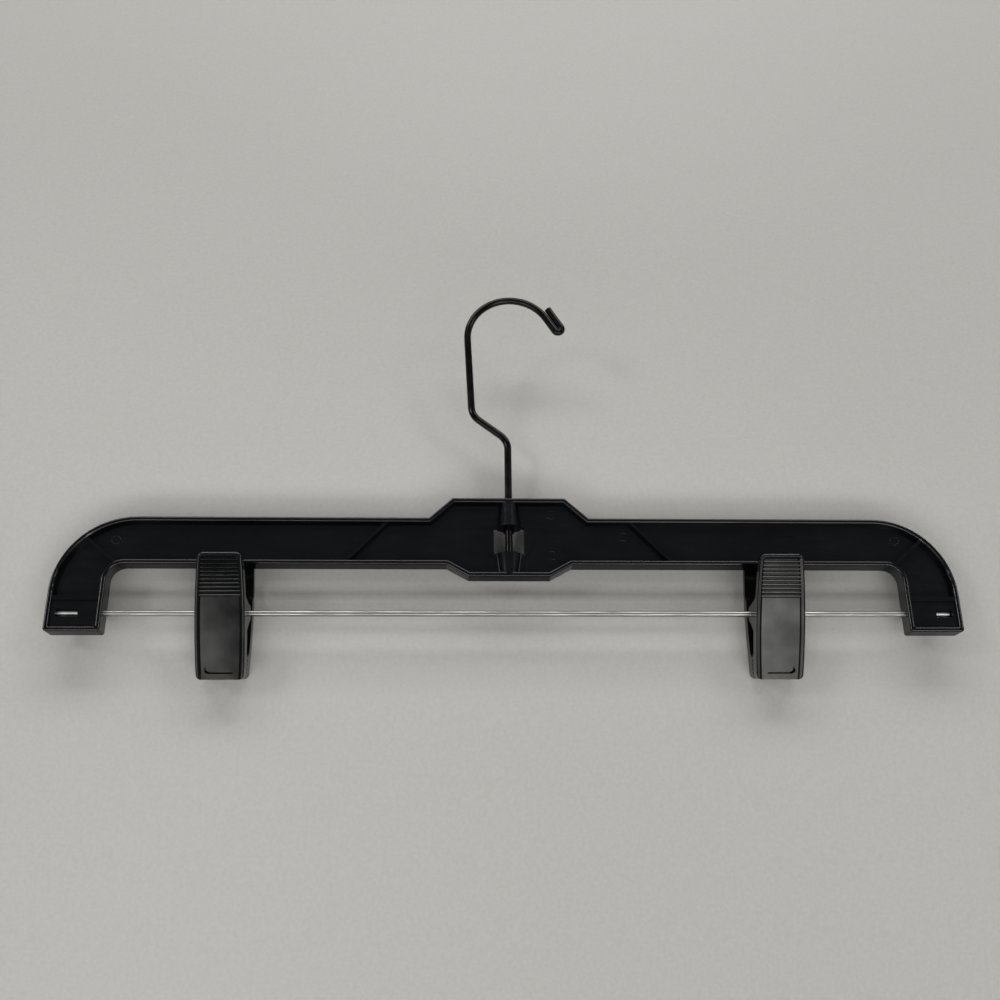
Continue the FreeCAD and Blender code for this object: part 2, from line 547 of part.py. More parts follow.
def make_jaw(label, clip_x, hand, facing):
    """One clip half. It faces the front (-1) or the back (1); the keyhole's eye lies on the hand's side."""
    front = facing < 0
    body = new_body(label)
    place_at(body, clip_x, ROD_LEVEL, "clip_rock + jaw_angle" if front else "clip_rock - jaw_angle")

    def depth(text):
        """A sketch plane at a depth under the outer face."""
        return f"{-facing} * (jaw_stand - ({text}))"

    def side(text, level):
        """A corner of a side view, at a depth under the outer face."""
        return f"{facing} * (jaw_stand - ({text}))", level

    mid = "jaw_stand - ({}) * tan(jaw_angle * 1 deg) - jaw_gap / 2"
    block_top, far = "(jaw_length - tip_height)", "2 * jaw_stand"

    # The full outline with round edges. A panel with sloping walls is sunk in it, open at the tip.
    sketch = sketch_on(body, "front_outline", "XZ_Plane", depth("0"))
    draw(sketch, jaw_edges("0"))
    blank = pad(body, "blank", sketch, "jaw_stand", both=False, flip=front)
    edge_round = "min(jaw_round; 0.9 * panel_recess; 0.9 * (panel_rim - panel_bevel); 0.7 * tip_corner)"
    soften(body, "rim_edges", blank, edge_round, (facing,))
    walls = []
    for name, sunk, inset in (("mouth", "0", "(panel_rim - panel_bevel)"),
                              ("edge", "0.35 * panel_recess", "panel_rim"),
                              ("floor", "panel_recess", "(panel_rim + panel_slope)")):
        sketch = sketch_on(body, f"panel_{name}", "XZ_Plane", depth(sunk))
        draw(sketch, jaw_edges(inset, tip=f"-jaw_length - tip_corner - 1 - {inset}"))
        walls.append(sketch)
    panel = body.newObject("PartDesign::SubtractiveLoft", "panel")
    panel.Profile = walls[0]
    panel.Sections = walls[1:]
    panel.Ruled = True
    doc.recompute()

    # The side view is cut out of the blank, which is hollow behind its panel, down to the solid tip.
    sketch = sketch_on(body, "side_cut_outline", "YZ_Plane")
    draw(sketch, [
        side("handle_depth", "handle_length + 1"), side("handle_depth", "ear_base + 2"),
        side("flank_depth", "ear_base"), side("flank_depth", f"2 - {block_top}"),
        side(mid.format(block_top), f"-{block_top}"), side(mid.format("jaw_length + 1"), "-jaw_length - 1"),
        side(far, "-jaw_length - 1"), side(far, "handle_length + 1")])
    pocket(body, "side_cut", sketch, "4 * jaw_half_width", both=True)
    sketch = sketch_on(body, "hollow_outline", "XZ_Plane", depth("panel_recess + jaw_wall"))
    draw(sketch, jaw_edges("jaw_wall", tip=f"2 - {block_top} - jaw_wall"))
    pocket(body, "hollow", sketch, flip=not front)

    # Grip ribs cross the handle, and a keyhole lies near the tip.
    sketch = sketch_on(body, "grip_outline", "YZ_Plane")
    level = "handle_length - grip_start"
    draw(sketch, [side("panel_recess + 0.2", f"{level} - (grip_pitch - grip_gap) / 2"),
                  side("panel_recess", f"{level} - (grip_pitch - grip_gap) / 2"),
                  side("panel_recess - grip_height", f"{level} - (grip_pitch - grip_gap) / 8"),
                  side("panel_recess - grip_height", f"{level} + (grip_pitch - grip_gap) / 8"),
                  side("panel_recess", f"{level} + (grip_pitch - grip_gap) / 2"),
                  side("panel_recess + 0.2", f"{level} + (grip_pitch - grip_gap) / 2")])
    reach = f"({JAW_CENTRE} + sqrt(jaw_side_radius^2 - (handle_length + jaw_widest_at)^2))"
    rib = pad(body, "grip_rib", sketch, f"2 * ({reach} - 0.45 * panel_rim)")
    ribs = body.newObject("PartDesign::LinearPattern", "grip_ribs")
    ribs.Originals = [rib]
    ribs.Direction = (sketch, ["V_Axis"])
    ribs.Reversed = True
    ribs.setExpression("Length", full("grip_pitch * (grip_count - 1)"))
    ribs.setExpression("Occurrences", full("grip_count"))
    body.Tip = ribs
    doc.recompute()
    sketch = sketch_on(body, "keyhole_slot_outline", "XZ_Plane", depth("panel_recess"))
    draw(sketch, rectangle("-keyhole_half", "keyhole_level - jaw_length - keyhole_slot / 2",
                           "keyhole_half", "keyhole_level - jaw_length + keyhole_slot / 2"))
    pocket(body, "keyhole_slot", sketch, "keyhole_depth", flip=not front)
    sketch = sketch_on(body, "keyhole_eye_outline", "XZ_Plane", depth("panel_recess"))
    circle(sketch, f"{hand} * keyhole_half", "keyhole_level - jaw_length + keyhole_slot", "keyhole_radius")
    pocket(body, "keyhole_eye", sketch, "keyhole_depth", flip=not front)

    # Grooves across the tip's gripping face leave a row of teeth.
    sketch = sketch_on(body, "tooth_outline", "YZ_Plane")
    first = "(jaw_length - tooth_pitch)"
    low, high = f"{first} + tooth_depth", f"{first} - tooth_depth"
    draw(sketch, [side(f"{mid.format(low)} + 0.01", f"-({low})"),
                  side(f"{mid.format(first)} - tooth_depth", f"-{first}"),
                  side(f"{mid.format(high)} + 0.01", f"-({high})")])
    groove = pocket(body, "tooth_groove", sketch, "4 * jaw_half_width", both=True)
    run = sketch_on(body, "tooth_run", "YZ_Plane")
    ends = [side(mid.format(text), f"-{text}") for text in (first, block_top)]
    line = run.addGeometry(Part.LineSegment(*(Vector(value(y), value(z), 0) for y, z in ends)), False)
    constrain(run, hold(line, 1, *ends[0]) + hold(line, 2, *ends[1]))
    doc.recompute()
    grooves = body.newObject("PartDesign::LinearPattern", "tooth_grooves")
    grooves.Originals = [groove]
    grooves.Direction = (run, ["Edge1"])
    grooves.setExpression("Length", full("tooth_pitch * (tooth_count - 1)"))
    grooves.setExpression("Occurrences", full("tooth_count"))
    body.Tip = grooves
    doc.recompute()

    # Ears on the rod; those of the back half nest inside those of the front half.
    outside = "jaw_half_width - ear_outer_inset"
    if not front:
        outside = f"{outside} - ear_wall - ear_play"
        sketch = sketch_on(body, "ear_root_outline", "YZ_Plane")
        draw(sketch, [side("panel_recess + jaw_wall / 2", "ear_base"), side("flank_depth", "ear_base"),
                      side("flank_depth", "-ear_base"), side("panel_recess + jaw_wall / 2", "-ear_base")])
        pad(body, "ear_roots", sketch, f"2 * ({outside} + ear_play + ear_wall / 2)")
    sketch = sketch_on(body, "ear_outline", "YZ_Plane")
    root = "panel_recess + jaw_wall / 2"
    draw(sketch, [side(root, "ear_base"), side("flank_depth", "ear_base"),
                  ("0", "ear_radius", "ear_radius", facing),
                  (f"{-facing} * ear_radius", "0", "ear_radius", facing),
                  ("0", "-ear_radius"),
                  side("flank_depth", "-ear_base"), side(root, "-ear_base")])
    pad(body, "ears", sketch, f"2 * ({outside})")
    sketch = sketch_on(body, "ear_space_outline", "YZ_Plane")
    draw(sketch, rectangle(side("panel_recess + jaw_wall", "0")[0], "-ear_base - 1",
                           f"{-facing} * (ear_radius + 1)", "ear_base + 1"))
    pocket(body, "ear_space", sketch, f"2 * ({outside} - ear_wall)", both=True)
    sketch = sketch_on(body, "ear_hole_outline", "YZ_Plane")
    circle(sketch, "0", "0", "rod_diameter / 2 + rod_clearance")
    pocket(body, "ear_holes", sketch, "4 * jaw_half_width", both=True)
    return body


def biarc(start, start_way, end, end_way):
    """Two arcs that leave a point in one direction and reach another point in a second one."""
    gap, both = end - start, start_way + end_way
    turn = 2 * (1 - start_way.dot(end_way))
    along = gap.dot(both)
    reach = (math.sqrt(along ** 2 + turn * gap.dot(gap)) - along) / turn
    joint = (start + end + (start_way - end_way) * reach) * 0.5
    arcs = []
    for a, b, corner in ((start, joint, start + start_way * reach), (joint, end, end - end_way * reach)):
        chord = b - a
        lift = corner - (a + b) * 0.5
        half_turn = math.atan2(lift.Length, chord.Length / 2)
        top = (a + b) * 0.5 + lift * (chord.Length / 2 * math.tan(half_turn / 2) / lift.Length)
        arcs.append(Part.Arc(a, top, b).toShape())
    return arcs


def make_spring(label, clip_x):
    """A torsion coil round the rod; one leg rises to the front handle and one to the back handle."""
    wire = value("spring_wire")
    coil = value("rod_diameter / 2 + spring_play + spring_wire / 2")
    pitch = value("spring_wire + spring_gap")
    jaw = math.radians(value("jaw_angle"))

    # The legs end beside the handles' panels, alike about the shut clip's own middle.
    seat = value("jaw_stand - panel_recess - jaw_wall - spring_wire / 2 - spring_seat")
    reach = value("spring_reach")
    end_y = seat * math.cos(jaw) + reach * math.sin(jaw)
    end_z = reach * math.cos(jaw) - seat * math.sin(jaw)
    # Where the straight legs leave the coil, as an angle under the rod's level.
    leave = math.acos(coil / math.hypot(end_y, end_z)) - math.atan2(end_z, end_y)
    sweep = math.pi * (2 * value("spring_turns") + 1) - 2 * leave

    def on_coil(angle):
        """A point of the coil and the wire's direction there, counted from the front leg."""
        place = math.pi + leave + angle
        spot = Vector(pitch * (angle - sweep / 2) / (2 * math.pi),
                      coil * math.cos(place), coil * math.sin(place))
        way = Vector(pitch / (2 * math.pi), -coil * math.sin(place), coil * math.cos(place))
        return spot, way.normalize()

    count = math.ceil(sweep / math.pi)
    spots = [on_coil(sweep * i / count) for i in range(count + 1)]
    (front, front_way), (back, back_way) = spots[0], spots[-1]
    leg = math.sqrt(end_y ** 2 + end_z ** 2 - coil ** 2) / math.hypot(back_way.y, back_way.z)
    edges = [Part.makeLine(front - front_way * leg, front)]
    for here, there in zip(spots, spots[1:]):
        edges += biarc(*here, *there)
    edges.append(Part.makeLine(back, back + back_way * leg))
    path = Part.Wire(edges)

    points = path.discretize(Distance=wire / 4)
    apart = round(math.pi * coil / (wire / 4))
    least = min(a.distanceToPoint(b) for i, a in enumerate(points) for b in points[i + apart:])
    print(f"{label}: least gap between turns {least - wire:.2f} mm")

    section = Part.Wire(Part.makeCircle(wire / 2, front - front_way * leg, front_way))
    spring = doc.addObject("Part::Feature", label)
    spring.Label = label
    spring.Shape = path.makePipeShell([section], True, False)
    place_at(spring, clip_x, ROD_LEVEL, "clip_rock")
    return spring


pieces = [make_hanger_body(), make_hook(), make_rod()]
for clip, clip_x, hand in (("left", "-left_clip_at", -1), ("right", "right_clip_at", 1)):
    pieces.append(make_jaw(f"{clip}_front_jaw", clip_x, hand, -1))
    pieces.append(make_jaw(f"{clip}_back_jaw", clip_x, hand, 1))
    pieces.append(make_spring(f"{clip}_spring", clip_x))
doc.recompute()

for thing in doc.Objects:
    if "Invalid" in thing.State or "Error" in thing.State:
        raise ValueError(f"{thing.Label} could not be made")
os.makedirs("parts", exist_ok=True)
for piece in pieces:
    if piece.Shape.isNull() or not piece.Shape.isValid() or len(piece.Shape.Solids) != 1:
        raise ValueError(f"{piece.Label} is not one sound solid")
    piece.Shape.exportStep(f"parts/{piece.Label}.step")
    box = piece.Shape.BoundBox
    print(f"{piece.Label}: {box.XLength:.1f} x {box.YLength:.1f} x {box.ZLength:.1f} mm")
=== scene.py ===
# %% [markdown]
# # A skirt hanger, dressed for its picture
# The real hanger is a black moulded bar with a wire hook that swivels, a bright rod under the
# bar, and two sprung clips that slide on the rod. The solids arrive with their true sizes, so
# this lesson only dresses them. It gives every surface its finish, adds the small marks that
# moulding leaves, makes springs whose legs follow the handles, and lights the hanger as it lay
# on a grey table.

# %% Load the solids
import math

import bpy
from mathutils import Matrix, Vector


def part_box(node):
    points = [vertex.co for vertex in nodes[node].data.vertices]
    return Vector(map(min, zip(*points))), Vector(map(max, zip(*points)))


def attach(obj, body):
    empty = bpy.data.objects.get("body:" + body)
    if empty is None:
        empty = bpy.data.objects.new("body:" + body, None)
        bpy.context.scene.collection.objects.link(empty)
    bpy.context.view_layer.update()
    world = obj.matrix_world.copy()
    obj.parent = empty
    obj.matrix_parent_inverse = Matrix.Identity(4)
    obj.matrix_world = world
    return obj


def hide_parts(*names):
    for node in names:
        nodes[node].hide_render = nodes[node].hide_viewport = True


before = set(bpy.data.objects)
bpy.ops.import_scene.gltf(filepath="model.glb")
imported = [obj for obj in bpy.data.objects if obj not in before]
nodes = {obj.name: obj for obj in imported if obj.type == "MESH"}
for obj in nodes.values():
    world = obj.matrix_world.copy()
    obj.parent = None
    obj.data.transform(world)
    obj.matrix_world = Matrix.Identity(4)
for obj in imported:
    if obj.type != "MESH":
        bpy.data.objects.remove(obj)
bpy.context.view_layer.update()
scene = bpy.context.scene
MM = 0.001
print("solids:", ", ".join(sorted(nodes)))

# %% [markdown]
# ## The camera
# The photograph was taken by hand from the foot side of the hanger, so the lens looks up at the
# bar at a slant. The place, the three angles and the lens below were solved from the bar's
# outline and its known width. A constraint could aim the camera too, but writing the view as
# yaw, pitch and roll keeps it exact and easy to change.

# %% Camera
YAW, PITCH, ROLL = (math.radians(angle) for angle in (2.2, 21.0, -0.49))
AIM = Vector((-3.57, -4.1, -93.2)) * MM
DISTANCE = 434.94 * MM
SENSOR_MM, LENS_MM = 36.0, 38.95
NEAREST = 0.01

flat = math.cos(PITCH)
ahead = Vector((math.sin(YAW) * flat, math.cos(YAW) * flat, math.sin(PITCH)))
level = ahead.cross(Vector((0, 0, 1))).normalized()
upright = level.cross(ahead)
right = level * math.cos(ROLL) + upright * math.sin(ROLL)
up = upright * math.cos(ROLL) - level * math.sin(ROLL)
eye = AIM - ahead * DISTANCE
turned = Matrix((right, up, -ahead)).transposed().to_4x4()

lens = bpy.data.cameras.new("camera")
lens.sensor_width, lens.lens = SENSOR_MM, LENS_MM
lens.clip_start = NEAREST
camera = bpy.data.objects.new("camera", lens)
camera.matrix_world = Matrix.Translation(eye) @ turned
scene.collection.objects.link(camera)
scene.camera = camera
print("camera at", [round(value, 3) for value in eye])

# %% [markdown]
# ## Helpers for finishes
# Every finish is a shader with patterns that are worked out from the place on the piece. Painted
# pictures would do as well, but patterns stay sharp at any distance and need no unwrapping. A
# few short helpers keep the trees readable: soft noise, a colour ramp, a change of range, a bump
# and the links into the shader.


# %% Pattern helpers
def new_finish(name):
    """A material, its node tree, its shader and the place on the piece that patterns read."""
    finish = bpy.data.materials.new(name)
    finish.use_nodes = True
    tree = finish.node_tree
    place = tree.nodes.new("ShaderNodeTexCoord").outputs["Object"]
    return finish, tree, tree.nodes["Principled BSDF"], place


def noise(tree, place, scale, detail=3.0, stretch=None):
    """Soft patches about 1 / scale metres across; a small stretch draws them out on its axis."""
    if stretch:
        mapping = tree.nodes.new("ShaderNodeMapping")
        mapping.inputs["Scale"].default_value = stretch
        tree.links.new(place, mapping.inputs["Vector"])
        place = mapping.outputs["Vector"]
    node = tree.nodes.new("ShaderNodeTexNoise")
    node.inputs["Scale"].default_value = scale
    node.inputs["Detail"].default_value = detail
    tree.links.new(place, node.inputs["Vector"])
    return node.outputs["Fac"]


def tint(tree, value, dark, light, start=0.3, end=0.7):
    """A colour between two shades."""
    node = tree.nodes.new("ShaderNodeValToRGB")
    stops = zip(node.color_ramp.elements, (start, end), (dark, light))
    for stop, position, colour in stops:
        stop.position = position
        stop.color = (*colour, 1)
    tree.links.new(value, node.inputs["Fac"])
    return node.outputs["Color"]


# %% Range, bump and link helpers
def spread(tree, value, low, high, start=0.3, end=0.7):
    """The same pattern in another range of numbers."""
    node = tree.nodes.new("ShaderNodeMapRange")
    ranges = {"From Min": start, "From Max": end, "To Min": low, "To Max": high}
    for name, number in ranges.items():
        node.inputs[name].default_value = number
    tree.links.new(value, node.inputs["Value"])
    return node.outputs["Result"]


def relief(tree, height, depth, strength):
    """Small unevenness, whose full step is a depth in metres."""
    node = tree.nodes.new("ShaderNodeBump")
    node.inputs["Distance"].default_value = depth
    node.inputs["Strength"].default_value = strength
    tree.links.new(height, node.inputs["Height"])
    return node.outputs["Normal"]


def feed(tree, shader, colour, roughness, bumps):
    """Lead a colour, a roughness and a relief into the shader."""
    tree.links.new(colour, shader.inputs["Base Color"])
    tree.links.new(roughness, shader.inputs["Roughness"])
    tree.links.new(bumps, shader.inputs["Normal"])


# %% [markdown]
# ## The table
# The hanger lay on a plain grey table with its clips' backs flat on it. In this frame the hanger
# hangs upright, so the table is a sheet behind it. Below the hub the sheet lies where the table
# was. Above it the sheet leans away, which leaves room for the hook to swivel; a flat sheet would
# cut through it. A few strips make the bend, and smooth shading hides their edges.

# %% Table shape
ROD_Z = -139.2 * MM
CLIP_BACK = 9.9 * MM
TABLE_TILT, LEAN = -0.056, 0.29
BEND_LOW, BEND_TOP, BEND_STEPS = -105 * MM, -65 * MM, 16
TABLE_HALF = 3.0


def table_depth(z):
    """How far behind the swivel axis the sheet lies at a height."""
    into = min(max(z, BEND_LOW), BEND_TOP) - BEND_LOW
    bent = (LEAN - TABLE_TILT) * into ** 2 / (2 * (BEND_TOP - BEND_LOW))
    above = max(z - BEND_TOP, 0.0) * (LEAN - TABLE_TILT)
    return CLIP_BACK + TABLE_TILT * (z - ROD_Z) + bent + above


bend = [BEND_LOW + (BEND_TOP - BEND_LOW) * i / BEND_STEPS for i in range(BEND_STEPS + 1)]
heights = [-TABLE_HALF, *bend, TABLE_HALF]
corners = [(x, table_depth(z), z) for z in heights for x in (-TABLE_HALF, TABLE_HALF)]
strips = [(2 * i, 2 * i + 1, 2 * i + 3, 2 * i + 2) for i in range(len(heights) - 1)]
table_mesh = bpy.data.meshes.new("table")
table_mesh.from_pydata(corners, [], strips)
table_mesh.polygons.foreach_set("use_smooth", [True] * len(strips))
table = bpy.data.objects.new("table", table_mesh)
scene.collection.objects.link(table)
print("table faces", [round(value, 2) for value in table_mesh.polygons[0].normal])

# %% [markdown]
# ## Paint of the table
# The paint is a warm grey with wide, faint clouds and a fine speckle, so two noises are mixed
# before they get their colour. The back of the sheet is clear and the sheet stops no light, so
# the hanger can be seen from behind as well.

# %% Table paint
table_paint, tree, shader, place = new_finish("table_paint")
speckled = tree.nodes.new("ShaderNodeMix")
speckled.inputs["Factor"].default_value = 0.4
tree.links.new(noise(tree, place, scale=2.2, detail=1.0), speckled.inputs["A"])
tree.links.new(noise(tree, place, scale=700.0, detail=4.0), speckled.inputs["B"])
grey = tint(tree, speckled.outputs["Result"], dark=(0.41, 0.405, 0.39), light=(0.50, 0.495, 0.48))
grain = relief(tree, noise(tree, place, scale=900.0, detail=2.0), depth=40e-6, strength=0.15)
tree.links.new(grey, shader.inputs["Base Color"])
tree.links.new(grain, shader.inputs["Normal"])
shader.inputs["Roughness"].default_value = 0.8
shader.inputs["Specular IOR Level"].default_value = 0.2
table_mesh.materials.append(table_paint)

# %% Clear back of the table
from_behind = tree.nodes.new("ShaderNodeNewGeometry").outputs["Backfacing"]
to_a_lamp = tree.nodes.new("ShaderNodeLightPath").outputs["Is Shadow Ray"]
passing = tree.nodes.new("ShaderNodeMath")
passing.operation = "MAXIMUM"
tree.links.new(from_behind, passing.inputs[0])
tree.links.new(to_a_lamp, passing.inputs[1])
clear = tree.nodes.new("ShaderNodeBsdfTransparent")
either = tree.nodes.new("ShaderNodeMixShader")
tree.links.new(passing.outputs["Value"], either.inputs["Fac"])
tree.links.new(shader.outputs["BSDF"], either.inputs[1])
tree.links.new(clear.outputs["BSDF"], either.inputs[2])
tree.links.new(either.outputs["Shader"], tree.nodes["Material Output"].inputs["Surface"])
print("finish:", table_paint.name, "with", len(tree.nodes), "nodes")

# %% [markdown]
# ## The light
# The photograph has soft shadows above and below the bar, grey clip panels and thin pale rims. A
# wide lamp overhead and one below the foot throw the shadows, and a lamp on either side fills
# them. Those two stand a little above the bar, where the tipped clips don't mirror them. What
# the panels mirror instead are dim windows and a wall lower down: the right clip sees a wide
# patch, the left clip less. Straight ahead the room is dark, which is why the glossy web looks
# nearly black. Two more lamps light the back. Angles are counted from straight ahead of the bar,
# so that a lamp can be moved until the right face mirrors it.

# %% Lamps
MIDDLE = Vector((0, 0, -0.12))
LAMP_COLOUR = (1.0, 0.99, 0.965)
# name, degrees aside, degrees above, metres away, watts, metres wide, metres high
LAMPS = (
    ("left_lamp", -50, 13, 3.0, 13.0, 0.6, 0.6),
    ("right_lamp", 50, 13, 3.0, 8.0, 0.6, 0.6),
    ("left_window", -41, -29, 1.7, 4.0, 1.2, 0.7),
    ("right_window", 17, -29, 1.6, 0.9, 0.3, 0.7),
    ("right_wall", 27, -29, 1.65, 3.0, 0.8, 0.7),
    ("top_lamp", 0, 58, 1.6, 19.5, 2.2, 0.5),
    ("foot_lamp", 0, -50, 1.6, 12.0, 2.2, 0.3),
    ("back_left_lamp", -128, -28, 1.6, 12.0, 1.2, 1.2),
    ("back_right_lamp", 128, -28, 1.6, 12.0, 1.2, 1.2),
)


def lamp(name, aside, above, metres, watts, width, height):
    """A soft panel of light that faces the middle of the hanger from two angles in degrees."""
    aside, above = math.radians(aside), math.radians(above)
    flat = math.cos(above)
    way = Vector((math.sin(aside) * flat, -math.cos(aside) * flat, math.sin(above)))
    light = bpy.data.lights.new(name, "AREA")
    light.shape = "RECTANGLE"
    light.size, light.size_y = width, height
    light.energy = watts
    light.color = LAMP_COLOUR
    panel = bpy.data.objects.new(name, light)
    panel.location = MIDDLE + way * metres
    panel.rotation_euler = (-way).to_track_quat("-Z", "Y").to_euler()
    scene.collection.objects.link(panel)


for row in LAMPS:
    lamp(*row)
print("lamps:", len(LAMPS))

# %% Room
ROOM_GREY = (0.10, 0.10, 0.10, 1)
room = bpy.data.worlds.new("room")
room.use_nodes = True
room.node_tree.nodes["Background"].inputs["Color"].default_value = ROOM_GREY
scene.world = room
scene.view_settings.view_transform = "Standard"
print("world:", scene.world.name)

# %% [markdown]
# ## Finish of the bar
# The bar is polystyrene from a polished mould: almost black with a hint of blue and glossy on
# the web, with faint flow clouds and rubbed patches. A wide noise gives the colour and a fine
# one, drawn out along the bar, the gloss. The shine is weaker the more a face points down: this
# is painted shade on the undersides, standing for the shadowed table that they mirror.

# %% Bar plastic
bar_plastic, tree, shader, place = new_finish("bar_plastic")
flow = noise(tree, place, scale=60.0)
rubbed = noise(tree, place, scale=500.0, detail=4.0, stretch=(0.25, 1.0, 1.0))
waves = noise(tree, place, scale=240.0, detail=2.0)
feed(tree, shader,
     colour=tint(tree, flow, dark=(0.0016, 0.0020, 0.0030), light=(0.0030, 0.0036, 0.0050)),
     roughness=spread(tree, rubbed, low=0.13, high=0.22),
     bumps=relief(tree, waves, depth=20e-6, strength=0.10))
# Painted shade: faces that point down get a weaker shine, as if they mirrored shadowed table.
painted_shade_facing = tree.nodes.new("ShaderNodeSeparateXYZ")
normal = tree.nodes.new("ShaderNodeNewGeometry").outputs["Normal"]
tree.links.new(normal, painted_shade_facing.inputs["Vector"])
shine = spread(tree, painted_shade_facing.outputs["Z"], low=0.06, high=0.5, start=-0.95, end=-0.65)
tree.links.new(shine, shader.inputs["Specular IOR Level"])
print("finish:", bar_plastic.name, "with", len(tree.nodes), "nodes")

# %% [markdown]
# ## Finish of the clips
# The clips are a second moulding, smooth enough for their panels to mirror the windows. Handling
# has left them cloudy, with patches that shine a little more than others. Clouds in the colour
# would hardly show on black, so the same noise changes the strength of the shine as well.

# %% Clip plastic
clip_plastic, tree, shader, place = new_finish("clip_plastic")
cloudy = noise(tree, place, scale=110.0, detail=4.0)
handled = noise(tree, place, scale=150.0, detail=5.0)
pores = noise(tree, place, scale=900.0, detail=3.0)
feed(tree, shader,
     colour=tint(tree, cloudy, dark=(0.0024, 0.0028, 0.0030), light=(0.0046, 0.0052, 0.0054)),
     roughness=spread(tree, handled, low=0.08, high=0.15),
     bumps=relief(tree, pores, depth=8e-6, strength=0.2))
shine = spread(tree, cloudy, low=0.36, high=0.60)
tree.links.new(shine, shader.inputs["Specular IOR Level"])
print("finish:", clip_plastic.name, "with", len(tree.nodes), "nodes")

# %% [markdown]
# ## Finish of the hook
# The hook was dipped in black lacquer, which runs a little unevenly round the wire. One noise
# stands for the thicker and thinner places, in the colour and in the gloss, and a wider relief
# bends the reflections.

# %% Hook lacquer
hook_lacquer, tree, shader, place = new_finish("hook_lacquer")
pooled = noise(tree, place, scale=180.0)
runs = noise(tree, place, scale=420.0)
feed(tree, shader,
     colour=tint(tree, pooled, dark=(0.0016, 0.0016, 0.0016), light=(0.0034, 0.0034, 0.0032)),
     roughness=spread(tree, pooled, low=0.12, high=0.24),
     bumps=relief(tree, runs, depth=60e-6, strength=0.3))
shader.inputs["Specular IOR Level"].default_value = 0.25
print("finish:", hook_lacquer.name, "with", len(tree.nodes), "nodes")

# %% [markdown]
# ## Finish of the rod and the springs
# The rod is drawn wire, so its streaks run along it: a fine noise, drawn out on the rod's axis,
# makes them. Beyond a distance from the middle, inside the feet, the rod is given a lighter
# steel.
# The springs are the same steel, darker from their oil temper, so both come from one function.

# %% Drawn steel
LIGHTER_ENDS = (0.90, 0.90, 0.88, 1)
ENDS_FROM, NEVER = 160 * MM, 1.0


def drawn_steel(name, dark, light, along, lighter_from):
    """Wire with fine streaks along its length, lighter beyond a distance from the middle."""
    finish, tree, shader, place = new_finish(name)
    shader.inputs["Metallic"].default_value = 1.0
    streak = noise(tree, place, scale=1600.0, stretch=along)
    across = tree.nodes.new("ShaderNodeSeparateXYZ")
    tree.links.new(place, across.inputs["Vector"])
    away = tree.nodes.new("ShaderNodeMath")
    away.operation = "ABSOLUTE"
    tree.links.new(across.outputs["X"], away.inputs[0])
    # The steel is lighter beyond a distance from the middle, where the rod sits inside the feet.
    ends_mix = tree.nodes.new("ShaderNodeMix")
    ends_mix.data_type = "RGBA"
    into_ends = spread(tree, away.outputs["Value"], low=0.0, high=1.0,
                  start=lighter_from, end=lighter_from + MM)
    tree.links.new(into_ends, ends_mix.inputs["Factor"])
    tree.links.new(tint(tree, streak, dark, light), ends_mix.inputs["A"])
    ends_mix.inputs["B"].default_value = LIGHTER_ENDS
    feed(tree, shader,
         colour=ends_mix.outputs["Result"],
         roughness=spread(tree, streak, low=0.46, high=0.30),
         bumps=relief(tree, streak, depth=30e-6, strength=0.3))
    return finish


rod_steel = drawn_steel("rod_steel", (0.22, 0.22, 0.21), (0.46, 0.46, 0.44),
                        along=(0.05, 1.0, 1.0), lighter_from=ENDS_FROM)
spring_steel = drawn_steel("spring_steel", (0.16, 0.16, 0.16), (0.34, 0.34, 0.33),
                           along=(1.0, 1.0, 1.0), lighter_from=NEVER)
print("finishes:", rod_steel.name, spring_steel.name)

# %% [markdown]
# ## Dressing the solids
# Each solid keeps its shape and only gets its finish. Bar, hook and rod have one of their own;
# of the rest the springs are steel and the jaws are clip plastic, which their names tell.

# %% Dress the solids
finishes = {"hanger_body": bar_plastic, "hook": hook_lacquer, "rod": rod_steel}
for name, node in nodes.items():
    usual = spring_steel if name.endswith("spring") else clip_plastic
    node.data.materials.clear()
    node.data.materials.append(finishes.get(name, usual))
print("dressed", len(nodes), "nodes")

# %% [markdown]
# ## Springs that follow the handles
# Inside each clip a torsion spring sits on the rod and presses the two handles apart. Its solid
# is one stiff piece, but in use its coil slides with the clip while each leg swings with a
# handle. So the coil and the legs are made as three pieces. A coil is a rule, turns of one
# radius along an axis, and Geometry Nodes have that as a spiral; a leg is a straight length of
# the same wire. Each tree runs once, and its result is kept as a plain mesh.


# %% Node tree helpers
def new_tree(name, inputs):
    """A Geometry Nodes tree with named inputs, and its group input and output sockets."""
    tree = bpy.data.node_groups.new(name, "GeometryNodeTree")
    tree.interface.new_socket("Geometry", in_out="OUTPUT", socket_type="NodeSocketGeometry")
    for label, kind in inputs.items():
        tree.interface.new_socket(label, in_out="INPUT", socket_type=f"NodeSocket{kind}")
    given = tree.nodes.new("NodeGroupInput").outputs
    return tree, given, tree.nodes.new("NodeGroupOutput").inputs


def add(tree, kind, **inputs):
    """A node whose inputs are numbers or outputs of other nodes."""
    node = tree.nodes.new(f"GeometryNode{kind}")
    for label, given in inputs.items():
        socket = node.inputs[label.replace("_", " ")]
        if isinstance(given, bpy.types.NodeSocket):
            tree.links.new(given, socket)
        else:
            socket.default_value = given
    return node.outputs


def wire_from(tree, path, radius, sides):
    """Sweep a round wire along a path, with smooth sides and closed ends."""
    ring = add(tree, "CurvePrimitiveCircle", Radius=radius, Resolution=sides)["Curve"]
    wire = add(tree, "CurveToMesh", Curve=path, Profile_Curve=ring, Fill_Caps=True)["Mesh"]
    return add(tree, "SetShadeSmooth", Geometry=wire)["Geometry"]


def end_tree(tree, geometry, finish, result):
    """Make instances real, give them their finish and hand them out."""
    real = add(tree, "RealizeInstances", Geometry=geometry)["Geometry"]
    dressed = add(tree, "SetMaterial", Geometry=real, Material=finish)["Geometry"]
    tree.links.new(dressed, result["Geometry"])


